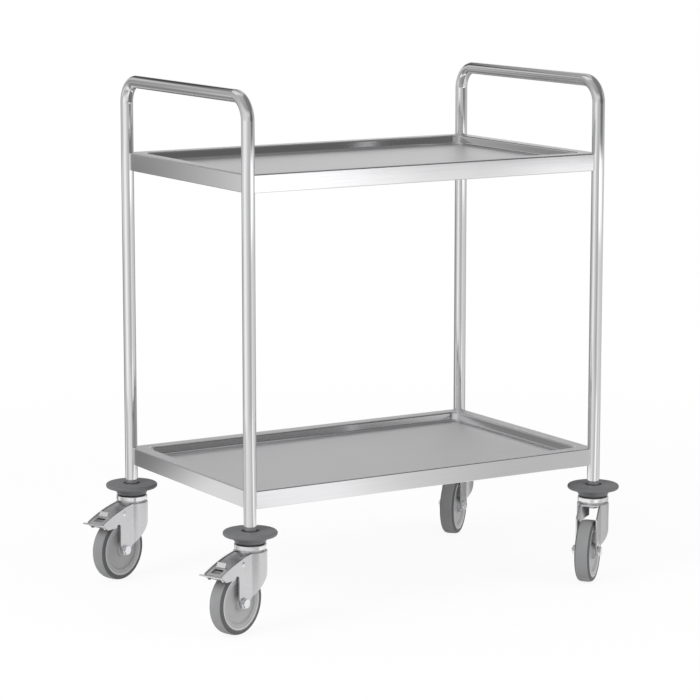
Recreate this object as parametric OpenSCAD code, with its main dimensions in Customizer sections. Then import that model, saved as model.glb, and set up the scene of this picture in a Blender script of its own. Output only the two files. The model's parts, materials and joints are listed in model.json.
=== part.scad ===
// Two-shelf serving trolley: two bent tube end frames, two pressed shelves with sunken
// decks, a bumper disc on each leg and four swivel casters, the two on the left with brakes.
// Lengths are in millimetres. +X runs along the trolley, +Y to its far side, +Z up from the floor.

/* [End frames] */
// Distance between the leg axes along the trolley
leg_pitch_x = 794; // [600:1:1000]
// Distance between the leg axes across the trolley
leg_pitch_y = 494; // [400:1:650]
// Outside diameter of the frame tube
tube_d = 25; // [22:0.5:28]
// Wall of the frame tube
tube_wall = 1.5; // [1:0.1:2.5]
// Radius of the handle bends on the tube's centre line
bend_r = 45; // [35:1:80]
// Height of the handle's centre line above the floor
handle_z = 1004.5; // [950:0.5:1100]

/* [Shelves] */
// Height of the upper shelf's rim above the floor
upper_rim_z = 862; // [700:1:900]
// Height of the lower shelf's rim above the floor
lower_rim_z = 265; // [245:1:400]
// How far the aprons stand outside the leg axes
apron_out = 3; // [0:0.5:6]
// Height of the aprons
apron_h = 35; // [28:0.5:50]
// Thickness of the shelf sheet
sheet_t = 1.2; // [0.8:0.1:2]
// Width of the flat rim
rim_w = 27; // [22:0.5:40]
// Depth of the sunken deck below the rim
deck_drop = 18; // [10:0.5:24]
// How far the deck's walls lean inwards over their depth
wall_lean = 4; // [1:0.5:8]
// Corner radius of the sunken deck at the rim
deck_corner_r = 16; // [10:1:40]
// Outside radius of the bend between rim and apron
fold_r = 2.5; // [2.1:0.1:4]
// Width of the hem turned inwards under the aprons
hem_w = 12; // [6:0.5:20]

/* [Bumper discs] */
// Diameter of the bumper disc
bumper_d = 104; // [80:1:130]
// Thickness of the bumper disc, which is also its full round rim
bumper_t = 10; // [8:0.5:14]
// Height of the hub below the disc
bumper_hub_h = 14.5; // [10:0.5:20]
// Diameter of the hub below the disc
bumper_hub_d = 54; // [50:1:62]
// Radius of the hub's rounded foot
bumper_foot_r = 9; // [4:0.5:10]
// Radius of the hollow between the hub and the disc
bumper_flare = 5; // [1:0.5:8]
// Width of the sunken ring round the tube
ring_w = 4.5; // [2:0.5:6]
// Depth of the sunken ring round the tube
ring_depth = 3.5; // [1:0.5:5]

/* [Caster wheels] */
// Diameter of the wheel over the tyre
wheel_d = 125; // [100:1:150]
// Width of the tyre
tyre_w = 30; // [26:0.5:32]
// Thickness of the tyre from tread to rim
tyre_t = 10; // [7:0.5:14]
// Radius of the tyre's shoulders
shoulder_r = 6; // [2:0.5:8]
// Width of the rim of the wheel centre
wheel_rim_w = 27; // [20:0.5:28]
// Height of the rim of the wheel centre, on the radius
wheel_rim_h = 11; // [8:0.5:14]
// Thickness of the wheel centre's web
web_t = 19; // [5:0.5:24]
// Diameter of the boss round the bearings
boss_d = 31; // [28:0.5:40]
// Diameter of the axle bolt
axle_d = 10; // [8:0.5:12]
// Outside diameter of the wheel bearings
bearing_d = 22; // [20:0.5:24]
// Width of each wheel bearing
bearing_w = 8; // [6:0.5:10]

/* [Caster forks] */
// Distance from the swivel axis back to the axle
trail = 45; // [35:0.5:52]
// Thickness of the fork sheet
fork_t = 3; // [2:0.1:4]
// Free distance between the fork's cheeks
cheek_gap = 38; // [36:0.5:42]
// Diameter of the fork's drum under the head
drum_d = 64; // [58:1:70]
// Distance from the top of the tyre to the underside of the crown
crown_gap = 24.5; // [22:0.5:30]
// Radius of the cheek round the axle
cheek_tip_r = 10; // [9:0.5:14]
// Width of the open slot at the back of the drum
drum_slot_w = 26; // [16:1:34]
// Diameter of the polished head ring above the fork
head_d = 62; // [58:1:70]
// Height of the head ring
head_h = 8.5; // [8:0.5:16]
// Gap between the head ring and the fork
head_gap = 5.5; // [1:0.1:6]
// Diameter of the bearing balls
ball_d = 6.35; // [5:0.05:7]
// Number of bearing balls in each head
ball_count = 16; // [10:1:18]
// Diameter of the kingpin bolt
kingpin_d = 12; // [10:0.5:14]
// Length of the plug that holds the caster in the tube
plug_h = 45; // [30:1:80]
// Height of the plug's collar under the tube
collar_h = 9; // [5:0.5:12]

/* [Brakes] */
// Reach of the pedal lip from the swivel axis
pedal_reach = 122; // [120:1:140]
// Width of the pedal lip, which is broader than the hood
lip_w = 52; // [40:1:60]
// Thickness of the lever sheet
lever_t = 2.5; // [2:0.1:3.5]
// Radius of the lever's arched top
lever_arch_r = 330; // [300:5:500]
// Slope of the lever's top where it leaves the head, in degrees
lever_slope = 10; // [6:0.5:12]
// Diameter of the lever's pivot pin
pin_d = 6; // [5:0.5:8]
// Height of the pivot above the top of the tyre
pivot_rise = 12; // [11:0.5:14]
// Distance of the pivot behind the axle, towards the pedal
pivot_back = 2; // [0:0.5:6]
// Free travel of the brake shoe above the tyre
shoe_travel = 9; // [6:0.5:9]
// Width of the brake shoe
shoe_w = 28; // [24:1:30]

/* [Pose as photographed] */
// Direction of the two left casters' trail from +X, in degrees
left_heading = 202; // [180:1:240]
// Direction of the two right casters' trail from +X, in degrees
right_heading = 222; // [180:1:240]

/* [Clearances] */
// Gap of a welded or pressed seat
seat_gap = 0.1; // [0.05:0.05:0.3]
// Radial clearance of a turning fit
run_gap = 0.08; // [0.02:0.01:0.1]
// Gap between faces that move past each other
side_gap = 0.4; // [0.3:0.05:0.6]

/* [Hidden] */

$fn = 64;
past = 1;

leg_x = leg_pitch_x / 2;
leg_y = leg_pitch_y / 2;
tube_r = tube_d / 2;
bore_r = tube_r - tube_wall;

// Heights from the floor up
wheel_r = wheel_d / 2;
axle_z = wheel_r;
crown_z = wheel_d + crown_gap;
crown_top = crown_z + fork_t;
head_low = crown_top + head_gap;
head_top = head_low + head_h;
tube_low = head_top + collar_h;
disc_low = head_top + bumper_hub_h;
disc_top = disc_low + bumper_t;

shelf_l = leg_pitch_x + 2 * apron_out;
shelf_w = leg_pitch_y + 2 * apron_out;

// Caster head: plate, skirt and ball race
head_r = head_d / 2;
head_plate = 4;
skirt_t = 3;
ball_r = ball_d / 2;
race_r = head_r - skirt_t - ball_d - 1.5;
race_out = race_r + ball_r + 2;
ball_z = head_top - head_plate - ball_r + 1;
race_top = ball_z - 1.8;
kingpin_r = kingpin_d / 2;
bolt_head_h = 7.5;
bolt_head_r = kingpin_r * 1.8;

// Fork: its two cheeks and drum
drum_r = drum_d / 2;
cheek_in = cheek_gap / 2;
cheek_out = cheek_in + fork_t;
leg_front = trail + 14.5;
blend_r = 10;
crown_front = 30;

// Brake lever, in the fork's own side view
lever_start = race_out + 1.2;
braked_crown_front = 18;
lever_half = cheek_in - side_gap;
arch_x = lever_start - lever_arch_r * sin(lever_slope);
arch_z = crown_top - 1 - lever_arch_r * cos(lever_slope);
pivot_x = trail + pivot_back;
pivot_z = wheel_d + pivot_rise;
pivot_ear_r = 8;
lip_l = 14;
lip_neck = 5;
lip_r = 4.4;
lever_end = pedal_reach - lip_l;
lever_end_z = arch_z + sqrt(pow(lever_arch_r, 2) - pow(lever_end - arch_x, 2));
hood_low = wheel_d - 13;
hood_end = lever_end + 2;
shoe_l = 16;
shoe_angle = 38;
shoe_x = trail + wheel_r * cos(shoe_angle) - 3;
shoe_z = axle_z + wheel_r * sin(shoe_angle) + 3;
flange_t = 2;

// Wheel
rim_r = wheel_r - tyre_t;
rim_in_r = rim_r - wheel_rim_h;
boss_half = cheek_in - 1;
axle_r = axle_d / 2;
axle_head_h = 6.4;
axle_head_r = axle_r * 1.96;
axle_nut_h = 8;
axle_flange_r = axle_r * 2.1;
axle_flange_t = 1.6;
rivet_head_h = 2;
rivet_head_r = pin_d * 0.85;

// Corners in a row: name, side in x, side in y, heading, braked
corner_names = ["front_left", "front_right", "rear_left", "rear_right"];
corner_sx = [-1, 1, -1, 1];
corner_sy = [-1, -1, 1, 1];

// The origin lies on the floor under the middle of the whole trolley, casters included
pedal_out = (pedal_reach - lip_r) * abs(cos(left_heading))
    + (lip_w / 2 - lip_r) * abs(sin(left_heading)) + lip_r;
pedal_side = (pedal_reach - lip_r) * abs(sin(left_heading))
    + (lip_w / 2 - lip_r) * abs(cos(left_heading)) + lip_r;
wheel_out = (trail + wheel_r - shoulder_r) * abs(sin(right_heading))
    + (tyre_w / 2 - shoulder_r) * abs(cos(right_heading)) + shoulder_r;
near_out = max(wheel_out, pedal_side, bumper_d / 2);
left_out = max(pedal_out, bumper_d / 2);
frame_x = (left_out - bumper_d / 2) / 2;
frame_y = (near_out - bumper_d / 2) / 2;

function is_left(i) = corner_sx[i] < 0;
function heading(i) = is_left(i) ? left_heading : right_heading;
function arch_height(x, inset) = arch_z + sqrt(pow(lever_arch_r - inset, 2) - pow(x - arch_x, 2));

// Places its child at a leg, upright and unturned
module at_leg(i) {
    translate([frame_x + corner_sx[i] * leg_x, frame_y + corner_sy[i] * leg_y, 0])
        children();
}

// Places its child in a swivelled caster: +X is the trail, the axle lies along Y
module in_caster(i) {
    at_leg(i)
        rotate([0, 0, heading(i)])
            children();
}

// Extrudes a side view, drawn in x and z, evenly across the caster's width
module across(width) {
    rotate([90, 0, 0])
        linear_extrude(width, center = true)
            children();
}

// Turns a profile, drawn in radius and width, round the wheel's axle
module round_axle() {
    translate([trail, 0, axle_z])
        rotate([-90, 0, 0])
            rotate_extrude()
                children();
}

module frame_run(r, low_past) {
    straight = handle_z - bend_r - tube_low;
    for (side = [0, 1])
        mirror([0, side, 0]) {
            translate([0, leg_y, tube_low - low_past])
                cylinder(h = straight + low_past, r = r);
            translate([0, leg_y - bend_r, handle_z - bend_r])
                rotate([90, 0, 90])
                    rotate_extrude(angle = 90)
                        translate([bend_r, 0])
                            circle(r = r);
        }
    translate([0, 0, handle_z])
        rotate([90, 0, 0])
            cylinder(h = leg_pitch_y - 2 * bend_r, r = r, center = true);
}

module end_frame(side) {
    color("gainsboro")
        translate([frame_x + side * leg_x, frame_y, 0])
            difference() {
                frame_run(tube_r, 0);
                frame_run(bore_r, past);
            }
}

// Outline with its two upper corners rounded
module folded_outline(w, low, top, r) {
    translate([-w / 2, low])
        square([w, top - low - r]);
    translate([-w / 2 + r, low])
        square([w - 2 * r, top - low]);
    for (side = [-1, 1])
        translate([side * (w / 2 - r), top - r])
            circle(r = r);
}

module folded_block(l, w, low, top, r) {
    intersection() {
        rotate([90, 0, 90])
            linear_extrude(l, center = true)
                folded_outline(w, low, top, r);
        rotate([90, 0, 0])
            linear_extrude(w, center = true)
                folded_outline(l, low, top, r);
    }
}

// Block with upright rounded corners whose walls lean inwards towards the bottom
module leaning_block(l, w, r, low, top, lean) {
    intersection() {
        rotate([90, 0, 90])
            linear_extrude(l + 2 * past, center = true)
                leaning_outline(w, low, top, lean);
        rotate([90, 0, 0])
            linear_extrude(w + 2 * past, center = true)
                leaning_outline(l, low, top, lean);
        translate([0, 0, low - past])
            linear_extrude(top - low + 2 * past)
                rounded_rectangle(l + lean / 2, w + lean / 2, r);
    }
}

module leaning_outline(w, low, top, lean) {
    polygon([[-w / 2 + lean, low], [w / 2 - lean, low], [w / 2, top], [-w / 2, top]]);
}

module rounded_rectangle(l, w, r) {
    square([l - 2 * r, w], center = true);
    square([l, w - 2 * r], center = true);
    for (sx = [-1, 1], sy = [-1, 1])
        translate([sx * (l / 2 - r), sy * (w / 2 - r)])
            circle(r = r);
}

module shelf(rim_z) {
    pan_l = shelf_l - 2 * rim_w;
    pan_w = shelf_w - 2 * rim_w;
    deck_z = rim_z - deck_drop;
    low = rim_z - apron_h;
    over_lean = wall_lean / deck_drop * past;
    color("silver")
        translate([frame_x, frame_y, 0])
            difference() {
                union() {
                    difference() {
                        folded_block(shelf_l, shelf_w, low, rim_z, fold_r);
                        folded_block(shelf_l - 2 * sheet_t, shelf_w - 2 * sheet_t,
                            low - past, rim_z - sheet_t, fold_r - sheet_t);
                    }
                    leaning_block(pan_l + 2 * sheet_t, pan_w + 2 * sheet_t,
                        deck_corner_r + sheet_t, deck_z - sheet_t, rim_z - sheet_t / 2, wall_lean);
                    hem(low);
                }
                leaning_block(pan_l + 2 * over_lean, pan_w + 2 * over_lean, deck_corner_r,
                    deck_z, rim_z + past, wall_lean + over_lean);
                for (sx = [-1, 1], sy = [-1, 1])
                    translate([sx * leg_x, sy * leg_y, low - past])
                        cylinder(h = apron_h + 2 * past, r = tube_r + seat_gap);
            }
}

module hem(low) {
    translate([0, 0, low])
        linear_extrude(sheet_t)
            difference() {
                square([shelf_l - sheet_t, shelf_w - sheet_t], center = true);
                square([shelf_l - 2 * hem_w, shelf_w - 2 * hem_w], center = true);
            }
}

// Disc with a full round rim, over a bowl-shaped hub that stands on the caster head
module bumper() {
    rim = bumper_t / 2;
    flat_r = bumper_d / 2 - rim;
    bore = tube_r + seat_gap;
    color("dimgray")
        rotate_extrude()
            difference() {
                union() {
                    translate([flat_r, disc_low + rim])
                        circle(r = rim);
                    translate([0, disc_low])
                        square([flat_r, bumper_t]);
                    bumper_hub();
                }
                translate([0, head_top - past])
                    square([bore, disc_top - head_top + 2 * past]);
                translate([0, disc_top - ring_depth])
                    square([bore + ring_w, ring_depth + past]);
                translate([0, head_top - past])
                    square([bore + collar_lip() + seat_gap, collar_h + past]);
            }
}

module bumper_hub() {
    hub_r = bumper_hub_d / 2;
    foot = hub_r - bumper_foot_r;
    translate([0, head_top])
        square([foot, bumper_hub_h + past]);
    translate([0, head_top + bumper_foot_r])
        square([hub_r, bumper_hub_h - bumper_foot_r + past]);
    intersection() {
        square([hub_r + past, disc_low + past]);
        translate([foot, head_top + bumper_foot_r])
            circle(r = bumper_foot_r);
    }
    difference() {
        translate([hub_r - past, disc_low - bumper_flare])
            square([bumper_flare + past, bumper_flare + past]);
        translate([hub_r + bumper_flare, disc_low - bumper_flare])
            circle(r = bumper_flare);
    }
}

function collar_lip() = 3;

// Sleeve pressed into the tube, with a collar that the tube stands on
module plug() {
    color("slategray")
        difference() {
            union() {
                translate([0, 0, head_top])
                    cylinder(h = collar_h, r = tube_r + seat_gap + collar_lip());
                translate([0, 0, head_top])
                    cylinder(h = collar_h + plug_h, r = bore_r - seat_gap);
            }
            translate([0, 0, head_top - past])
                cylinder(h = collar_h + plug_h + 2 * past, r = kingpin_r + seat_gap);
        }
}

// Fixed polished ring with the upper ball race under its plate
module head() {
    top_r = 2;
    color("whitesmoke")
        rotate_extrude()
            difference() {
                union() {
                    translate([kingpin_r + seat_gap, head_top - head_plate])
                        square([head_r - top_r - kingpin_r - seat_gap, head_plate]);
                    translate([head_r - skirt_t, head_low])
                        square([skirt_t, head_h - top_r]);
                    translate([head_r - top_r, head_top - top_r])
                        circle(r = top_r);
                }
                ball_groove();
            }
}

module ball_groove() {
    translate([race_r, ball_z])
        circle(r = ball_r + run_gap);
}

module balls() {
    color("lightsteelblue")
        for (k = [0:ball_count - 1])
            rotate([0, 0, k * 360 / ball_count])
                translate([race_r, 0, ball_z])
                    sphere(r = ball_r);
}

// Kingpin bolt: hexagon head under the crown, shank up through head and plug
module stem_bolt() {
    shank_low = crown_z - side_gap;
    color("darkgray") {
        translate([0, 0, shank_low - bolt_head_h])
            cylinder(h = bolt_head_h, r = bolt_head_r, $fn = 6);
        translate([0, 0, shank_low - past])
            cylinder(h = tube_low + plug_h - 6 - shank_low + past, r = kingpin_r);
    }
}

// Plan of the fork: a round drum that runs into two flat cheeks
module fork_plan(inset, reach) {
    blend_x = sqrt(pow(drum_r + blend_r, 2) - pow(cheek_out + blend_r, 2));
    share = drum_r / (drum_r + blend_r);
    circle(r = drum_r - inset);
    translate([0, -cheek_out + inset])
        square([reach, 2 * (cheek_out - inset)]);
    for (side = [-1, 1])
        difference() {
            polygon([[0, 0], [blend_x * share, side * (cheek_out + blend_r) * share],
                [blend_x, side * cheek_out], [blend_x, 0]]);
            translate([blend_x, side * (cheek_out + blend_r)])
                circle(r = blend_r + inset);
        }
}

// Side view of the plain fork, with a round end at the axle
module cheek_outline() {
    tip = cheek_tip_r * sqrt(0.5);
    rear = -drum_r - past;
    polygon([[rear, crown_top], [crown_front + 4, crown_top], [leg_front, crown_z - 20],
        [leg_front, axle_z + cheek_tip_r], [trail + cheek_tip_r, axle_z], [trail, axle_z],
        [trail - tip, axle_z - tip], [rear, axle_z - tip + trail - tip - rear]]);
    translate([trail, axle_z])
        circle(r = cheek_tip_r);
}

// Side view of the braked fork: the cheeks run on over the wheel as the brake's hood, with
// a sloping nose and a round relief where the hood meets the leg
module hood_outline() {
    nose = 12;
    proud = 1;
    relief_r = 6;
    intersection() {
        union() {
            translate([arch_x, arch_z])
                circle(r = lever_arch_r + proud, $fn = 256);
            translate([-drum_r - past, hood_low])
                square([drum_r + past + lever_start, crown_top - hood_low]);
        }
        union() {
            cheek_outline();
            difference() {
                polygon([[0, hood_low], [hood_end - nose, hood_low], [hood_end, hood_low + nose - 2],
                    [hood_end, crown_top], [0, crown_top]]);
                translate([leg_front + relief_r, hood_low])
                    circle(r = relief_r);
            }
        }
    }
}

module fork(braked) {
    reach = braked ? hood_end + past : leg_front + past;
    front = braked ? braked_crown_front : crown_front;
    low = axle_z - cheek_tip_r - past;
    color("lightgray")
        difference() {
            union() {
                intersection() {
                    translate([0, 0, low])
                        linear_extrude(crown_top - low)
                            difference() {
                                fork_plan(0, reach);
                                intersection() {
                                    fork_plan(fork_t, reach + past);
                                    translate([front, -cheek_in])
                                        square([reach, cheek_gap]);
                                }
                            }
                    across(2 * drum_r + past)
                        if (braked)
                            hood_outline();
                        else
                            cheek_outline();
                }
                translate([0, 0, crown_z])
                    cylinder(h = race_top - crown_z, r = race_out);
            }
            translate([0, 0, low - past])
                linear_extrude(crown_z - low + past)
                    fork_plan(fork_t, reach + past);
            translate([-drum_r - past, -drum_slot_w / 2, low])
                cube([drum_r + past, drum_slot_w, crown_z - low]);
            rotate_extrude()
                ball_groove();
            translate([0, 0, crown_z - past])
                cylinder(h = head_h + head_gap, r = kingpin_r + run_gap);
            translate([trail, 0, axle_z])
                rotate([90, 0, 0])
                    cylinder(h = 4 * cheek_out, r = axle_r + seat_gap / 2, center = true);
            if (braked)
                translate([pivot_x, 0, pivot_z])
                    rotate([90, 0, 0])
                        cylinder(h = 4 * cheek_out, r = pin_d / 2 + seat_gap / 2, center = true);
        }
}

// Hexagon with a round flange below it and its outer corners turned off
module flanged_hexagon(h) {
    turned_r = axle_head_r * 0.87;
    cylinder(h = axle_flange_t, r = axle_flange_r);
    intersection() {
        cylinder(h = h, r = axle_head_r, $fn = 6);
        rotate_extrude()
            polygon([[0, 0], [axle_head_r + 1, 0],
                [axle_head_r + 1, h - (axle_head_r + 1 - turned_r) * tan(30)], [turned_r, h], [0, h]]);
    }
}

// Axle bolt, with its head on the side of +Y and its end just past the nut
module axle() {
    thread_past = 2;
    color("whitesmoke")
        translate([trail, 0, axle_z])
            rotate([-90, 0, 0]) {
                translate([0, 0, cheek_out])
                    flanged_hexagon(axle_head_h);
                translate([0, 0, -cheek_out - axle_nut_h - thread_past])
                    cylinder(h = 2 * cheek_out + axle_nut_h + thread_past + past, r = axle_r);
            }
}

module nut() {
    color("whitesmoke")
        translate([trail, 0, axle_z])
            rotate([90, 0, 0])
                difference() {
                    translate([0, 0, cheek_out])
                        flanged_hexagon(axle_nut_h);
                    cylinder(h = 2 * cheek_out, r = axle_r + seat_gap / 2);
                }
}

// Wheel centre: broad rim, dished web and a boss for the bearings
module wheel() {
    boss_r = boss_d / 2;
    bore = bearing_d / 2 + seat_gap / 2;
    rim_half = wheel_rim_w / 2;
    web_half = web_t / 2;
    dish = 3;
    color("darkgray")
        round_axle()
            difference() {
                union() {
                    polygon([[axle_r + 3, -boss_half], [boss_r - 2, -boss_half], [boss_r, -boss_half + 4],
                        [boss_r + 1, -web_half - dish], [boss_r + 5, -web_half],
                        [rim_in_r - dish, -web_half], [rim_in_r, -rim_half + 2], [rim_in_r + 1, -rim_half],
                        [rim_r, -rim_half], [rim_r, rim_half],
                        [rim_in_r + 1, rim_half], [rim_in_r, rim_half - 2], [rim_in_r - dish, web_half],
                        [boss_r + 5, web_half], [boss_r + 1, web_half + dish],
                        [boss_r, boss_half - 4], [boss_r - 2, boss_half], [axle_r + 3, boss_half]]);
                    tyre_key(0);
                }
                for (side = [-1, 1])
                    translate([0, side * boss_half - bearing_seat()])
                        square([bore, 2 * bearing_seat()]);
            }
}

function bearing_seat() = bearing_w - (cheek_in - side_gap - boss_half);

// Rib of the wheel centre that keeps the tyre in place
module tyre_key(grow) {
    translate([rim_r - past, -4 - grow])
        square([past + 2 + grow, 8 + 2 * grow]);
}

module tyre() {
    half = tyre_w / 2;
    color("gray")
        round_axle()
            difference() {
                intersection() {
                    translate([rim_r + seat_gap, -half])
                        square([tyre_t, tyre_w]);
                    union() {
                        translate([0, -half])
                            square([wheel_r - shoulder_r, tyre_w]);
                        translate([0, -half + shoulder_r])
                            square([wheel_r, tyre_w - 2 * shoulder_r]);
                        for (side = [-1, 1])
                            translate([wheel_r - shoulder_r, side * (half - shoulder_r)])
                                circle(r = shoulder_r);
                    }
                }
                tyre_key(seat_gap);
            }
}

module bearings() {
    far = cheek_in - side_gap;
    color("lightslategray")
        round_axle()
            for (side = [-1, 1])
                translate([axle_r + run_gap, side * (far - bearing_w / 2) - bearing_w / 2])
                    square([bearing_d / 2 - axle_r - run_gap, bearing_w]);
}

// Arched brake lever: top sheet, two side flanges with pivot ears, window, lug and lip
module lever() {
    window_l = 16;
    window_w = 22;
    lug_rise = 11;
    window_x = lever_end - window_l - 4;
    color("slategray") {
        difference() {
            union() {
                across(2 * lever_half)
                    lever_sheet(lever_start, lever_end + 1);
                for (side = [-1, 1])
                    translate([0, side * (lever_half - flange_t / 2), 0])
                        across(flange_t)
                            flange_outline();
                lever_lip();
            }
            translate([window_x, -window_w / 2, arch_height(window_x + window_l, lever_t) - 2])
                cube([window_l, window_w, 14]);
            translate([pivot_x, 0, pivot_z])
                rotate([90, 0, 0])
                    cylinder(h = 4 * cheek_out, r = pin_d / 2 + run_gap, center = true);
        }
        across(window_w - 1)
            lug_outline(window_x, lug_rise);
    }
}

module lever_sheet(from_x, to_x) {
    intersection() {
        translate([arch_x, arch_z])
            difference() {
                circle(r = lever_arch_r, $fn = 256);
                circle(r = lever_arch_r - lever_t, $fn = 256);
            }
        translate([from_x, arch_z])
            square([to_x - from_x, 2 * lever_arch_r]);
    }
}

module flange_outline() {
    deep = 14;
    intersection() {
        translate([arch_x, arch_z])
            circle(r = lever_arch_r - lever_t / 2, $fn = 256);
        union() {
            polygon([[lever_start, pivot_z + pivot_ear_r - 4], [pivot_x, pivot_z - pivot_ear_r],
                [lever_end, lever_end_z - 8], [lever_end, crown_top], [lever_start, crown_top]]);
            translate([pivot_x, pivot_z])
                circle(r = pivot_ear_r);
            polygon([[pivot_x + deep, pivot_z], [lever_end - deep, lever_end_z - deep + 1],
                [lever_end - 4, lever_end_z - deep + 2], [lever_end, lever_end_z]]);
        }
    }
}

// Thin lip that the foot presses, turned up slightly, broader than the hood behind it
module lever_lip() {
    lift = 2;
    dip = 1.5;
    wide_l = pedal_reach - lever_end - lip_neck;
    intersection() {
        across(lip_w)
            polygon([[lever_end - 1, lever_end_z - lever_t], [lever_end + 4, lever_end_z - lever_t - dip],
                [pedal_reach, lever_end_z - lever_t - dip + lift], [pedal_reach, lever_end_z - dip + lift],
                [lever_end + 4, lever_end_z - dip], [lever_end - 1, lever_end_z]]);
        translate([0, 0, lever_end_z - 4 * lever_t])
            linear_extrude(8 * lever_t) {
                translate([0, -lever_half])
                    square([pedal_reach - wide_l / 2, 2 * lever_half]);
                translate([pedal_reach - wide_l / 2, 0])
                    rounded_rectangle(wide_l, lip_w, lip_r);
            }
    }
}

// Tongue struck up out of the window, which the toe lifts to let the brake go
module lug_outline(window_x, rise) {
    lean = 3;
    root_x = window_x - lever_t;
    tip_z = arch_height(window_x, 0) + rise;
    polygon([[root_x - 2, arch_height(root_x - 2, lever_t)], [root_x - 2, arch_height(root_x - 2, 0)],
        [root_x, arch_height(root_x, 0) + 2], [root_x + lean, tip_z - 1], [root_x + lean + 1, tip_z],
        [window_x + lean, tip_z - 0.5], [window_x, arch_height(window_x, 0) + 1],
        [window_x - 0.5, arch_height(window_x - 0.5, lever_t)]]);
}

module pin() {
    color("whitesmoke")
        translate([pivot_x, 0, pivot_z])
            rotate([90, 0, 0]) {
                cylinder(h = 2 * cheek_out + 2 * past, r = pin_d / 2, center = true);
                for (side = [0, 1])
                    mirror([0, 0, side])
                        translate([0, 0, cheek_out])
                            rivet_head();
            }
}

// Low dome that the riveting leaves
module rivet_head() {
    dome_r = (pow(rivet_head_r, 2) + pow(rivet_head_h, 2)) / (2 * rivet_head_h);
    rotate_extrude()
        intersection() {
            square([rivet_head_r + 1, rivet_head_h + 1]);
            translate([0, rivet_head_h - dome_r])
                circle(r = dome_r);
        }
}

// Brake shoe under the lever, hollowed to the curve of the tyre
module shoe() {
    color("darkslategray")
        across(shoe_w)
            difference() {
                intersection() {
                    translate([arch_x, arch_z])
                        circle(r = lever_arch_r - lever_t - seat_gap, $fn = 256);
                    translate([shoe_x, shoe_z])
                        square([shoe_l, crown_top - shoe_z]);
                }
                translate([trail, axle_z])
                    circle(r = wheel_r + shoe_travel, $fn = 128);
            }
}

module stem_bolts() {
    for (i = [0:3])
        at_leg(i)
            stem_bolt();
}

end_frame(-1);  // end_frame_left
end_frame(1);  // end_frame_right
shelf(upper_rim_z);  // upper_shelf
shelf(lower_rim_z);  // lower_shelf
stem_bolts();
for (i = [0:3]) {
    at_leg(i) bumper();
    at_leg(i) plug();
    at_leg(i) head();
    in_caster(i) balls();
    in_caster(i) fork(is_left(i));
    in_caster(i) axle();
    in_caster(i) nut();
    in_caster(i) wheel();
    in_caster(i) tyre();
    in_caster(i) bearings();
}
for (i = [0, 2]) {
    in_caster(i) lever();
    in_caster(i) pin();
    in_caster(i) shoe();
}
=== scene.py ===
import json
import math

import bmesh
import bpy
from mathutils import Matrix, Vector


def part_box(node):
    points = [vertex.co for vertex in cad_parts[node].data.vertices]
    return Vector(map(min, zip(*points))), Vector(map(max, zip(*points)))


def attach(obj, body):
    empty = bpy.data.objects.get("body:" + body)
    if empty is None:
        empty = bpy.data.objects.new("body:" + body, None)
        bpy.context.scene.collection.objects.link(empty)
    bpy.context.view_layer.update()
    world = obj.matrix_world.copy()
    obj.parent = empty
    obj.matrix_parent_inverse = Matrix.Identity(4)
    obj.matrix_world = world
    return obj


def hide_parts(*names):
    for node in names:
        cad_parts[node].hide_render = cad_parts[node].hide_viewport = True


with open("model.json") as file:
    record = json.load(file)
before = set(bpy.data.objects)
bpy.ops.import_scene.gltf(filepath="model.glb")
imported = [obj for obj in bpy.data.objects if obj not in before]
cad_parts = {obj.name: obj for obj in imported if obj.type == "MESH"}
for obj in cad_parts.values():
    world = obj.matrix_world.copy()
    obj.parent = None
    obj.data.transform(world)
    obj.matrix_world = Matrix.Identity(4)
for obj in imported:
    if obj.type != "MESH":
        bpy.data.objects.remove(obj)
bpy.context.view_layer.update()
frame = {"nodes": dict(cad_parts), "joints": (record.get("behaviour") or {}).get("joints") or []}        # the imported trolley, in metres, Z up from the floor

mm = 0.001


# Where things are, read from the frame

joints = {joint["name"]: joint for joint in frame["joints"]}
corners = ["front_left", "front_right", "rear_left", "rear_right"]
brakedCorners = ["front_left", "rear_left"]
sides = ["left", "right"]


def swivelPlace(corner):                 # on the floor under the leg
    x, y = joints["swivel_" + corner]["pos_m"][:2]
    return Vector((x, y, 0))


def heading(corner):                     # the way the caster trails, as an angle from +X
    x, y = joints["roll_" + corner]["axis"][:2]
    return math.atan2(-x, y)


def outward(corner):                     # the same way as a direction
    return Vector((math.cos(heading(corner)), math.sin(heading(corner)), 0))


axlePlace = Vector(joints["roll_front_left"]["pos_m"])
trail = (axlePlace.xy - swivelPlace("front_left").xy).length
tubeLow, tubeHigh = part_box("end_frame_left")
tubeRadius = (tubeHigh.x - tubeLow.x) / 2
upward = Vector((0, 0, 1))
acrossWheel = Vector((0, 1, 0))
origin = Vector((0, 0, 0))


# Small steps that the pieces share

closeness = {
    "merge": 0.001 * mm,                 # vertices nearer than this become one
    "same": 0.1 * mm,                    # places nearer than this count as the same
}


def deselectAll():
    if bpy.context.mode != "OBJECT":
        bpy.ops.object.mode_set(mode="OBJECT")
    bpy.ops.object.select_all(action="DESELECT")


def makeActive(piece):
    deselectAll()
    piece.select_set(True)
    bpy.context.view_layer.objects.active = piece


def editAll(piece):
    makeActive(piece)
    bpy.ops.object.mode_set(mode="EDIT")
    bpy.ops.mesh.select_all(action="SELECT")


def applyPlace():                        # of the piece in hand
    bpy.ops.object.transform_apply(location=True, rotation=True, scale=True)


def applyAll(piece):                     # its place, turn and size, and its modifiers
    makeActive(piece)
    applyPlace()
    for modifier in [m.name for m in piece.modifiers]:
        bpy.ops.object.modifier_apply(modifier=modifier)


def editReady(piece):                    # a new primitive, its place and size applied, open for editing
    applyAll(piece)
    editAll(piece)


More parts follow.
